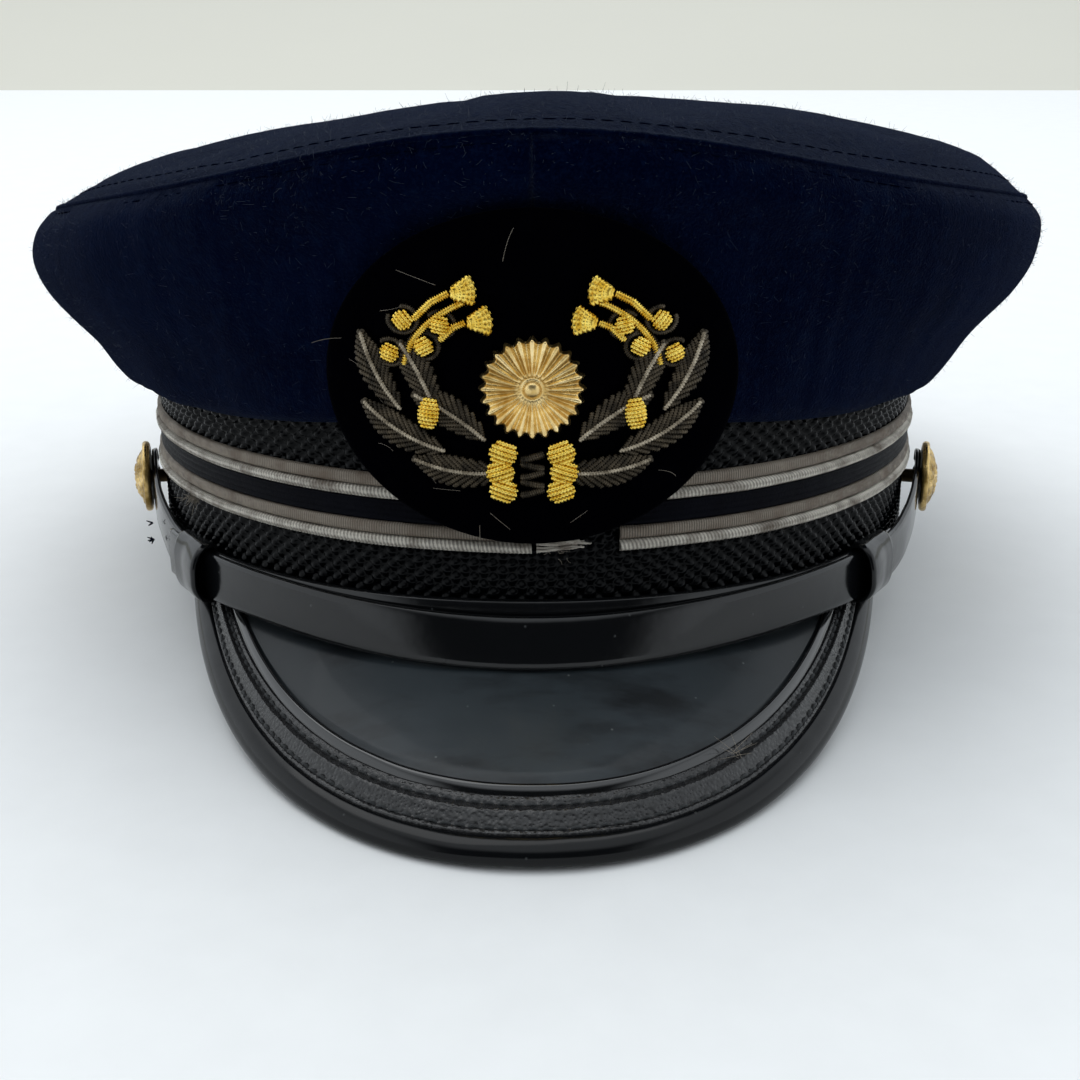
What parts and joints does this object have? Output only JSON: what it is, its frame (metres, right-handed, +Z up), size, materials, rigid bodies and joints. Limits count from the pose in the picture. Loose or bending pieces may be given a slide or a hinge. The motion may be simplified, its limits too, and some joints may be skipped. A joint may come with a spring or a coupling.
{
  "type": "military peaked cap",
  "caption": "Peaked uniform cap with flared wool crown, black braid band with silver stripes, embroidered front badge, patent chin strap, side buttons and visor.",
  "frame": {"origin": "on the surface the cap stands on, under the middle of its box; the cap rests on the tip of its visor and the rear edge of its band", "axes": "+X to the right when looking at the front, -Y out of the front (the visor side), +Z up"},
  "size_m": [0.224, 0.2856, 0.1151],
  "materials": {
    "wool_cloth": "dark navy napped wool cloth",
    "mohair_braid": "black mohair braid woven in small lozenges",
    "stiffener_board": "pressed fibre strip",
    "sweatband_leather": "brown sheepskin leather",
    "reed_piping": "leather-covered reed",
    "silver_lace": "silver-grey metallic lace, two ribs",
    "ribbed_ribbon": "dark ribbed silk ribbon",
    "grommet_wire": "spring steel wire",
    "ferrule_brass": "crimped brass sleeve",
    "stay_plastic": "white plastic stay",
    "felt_pad": "grey felt",
    "lining_satin": "dark satin lining",
    "clear_vinyl": "clear soft vinyl",
    "patent_gloss": "black patent leather, high gloss",
    "visor_board": "vulcanised fibre board",
    "visor_underlay": "dark green matt leather cloth",
    "patent_edge": "black patent rolled edge",
    "stitched_leather": "black grained leather, double stitched",
    "strap_patent": "black patent strap",
    "gilt_metal": "gilt stamped brass",
    "button_brass": "plain brass",
    "badge_buckram": "black stiffened buckram",
    "badge_velvet": "black velvet",
    "bullion_dark": "oxidised silver bullion wire",
    "bullion_gold": "gold bullion wire"
  },
  "bodies": {
    "cap": {"braid_band": "mohair_braid", "band_cloth": "wool_cloth", "band_stiffener": "stiffener_board", "sweatband": "sweatband_leather", "sweatband_reed": "reed_piping", "upper_stripe": "silver_lace", "lower_stripe": "silver_lace", "centre_ribbon": "ribbed_ribbon", "grommet_ring": "grommet_wire", "grommet_ferrule": "ferrule_brass", "crown_quarter_front_left": "wool_cloth", "crown_quarter_front_right": "wool_cloth", "crown_quarter_rear_left": "wool_cloth", "crown_quarter_rear_right": "wool_cloth", "crown_tip": "wool_cloth", "front_stay": "stay_plastic", "front_pad": "felt_pad", "lining_side": "lining_satin", "lining_tip": "lining_satin", "sweat_shield": "clear_vinyl", "visor_skin": "patent_gloss", "visor_core": "visor_board", "visor_lining": "visor_underlay", "visor_binding": "patent_edge", "visor_bead": "patent_edge", "visor_border": "stitched_leather", "rosette": "gilt_metal", "rosette_prongs": "gilt_metal", "badge_backing": "badge_buckram", "badge_velvet": "badge_velvet", "wreath_leaves_left": "bullion_dark", "wreath_buds_left": "bullion_gold", "wreath_leaves_right": "bullion_dark", "wreath_buds_right": "bullion_gold", "wreath_knot": "bullion_dark"},
    "chin_strap": {"strap_inner": "strap_patent", "strap_outer": "strap_patent"},
    "slide_left": {"keeper_left": "strap_patent"},
    "slide_right": {"keeper_right": "strap_patent"},
    "side_button_left": {"button_left_dome": "gilt_metal", "button_left_back": "button_brass", "button_left_shank": "button_brass", "button_left_pin": "button_brass"},
    "side_button_right": {"button_right_dome": "gilt_metal", "button_right_back": "button_brass", "button_right_shank": "button_brass", "button_right_pin": "button_brass"}
  },
  "joints": [
    {"name": "chin_strap_swing", "type": "hinge", "parent": "cap", "child": "chin_strap", "pos_m": [0, -0.02013, 0.02392], "axis": [-1, 0, 0], "range_deg": [0, 6]},
    {"name": "keeper_slide_left", "type": "hinge", "parent": "chin_strap", "child": "slide_left", "pos_m": [0.01402, -0.00665, 0.01475], "axis": [0, 0.105, 0.9945], "range_deg": [0, 11.37]},
    {"name": "keeper_slide_right", "type": "hinge", "parent": "chin_strap", "child": "slide_right", "pos_m": [-0.01402, -0.00665, 0.01475], "axis": [0, -0.105, -0.9945], "range_deg": [0, 11.37]},
    {"name": "button_spin_left", "type": "hinge", "parent": "cap", "child": "side_button_left", "pos_m": [-0.08445, -0.02013, 0.02392], "axis": [-0.9763, -0.2153, 0.0227], "continuous": true},
    {"name": "button_spin_right", "type": "hinge", "parent": "cap", "child": "side_button_right", "pos_m": [0.08445, -0.02013, 0.02392], "axis": [0.9763, -0.2153, 0.0227], "continuous": true}
  ]
}
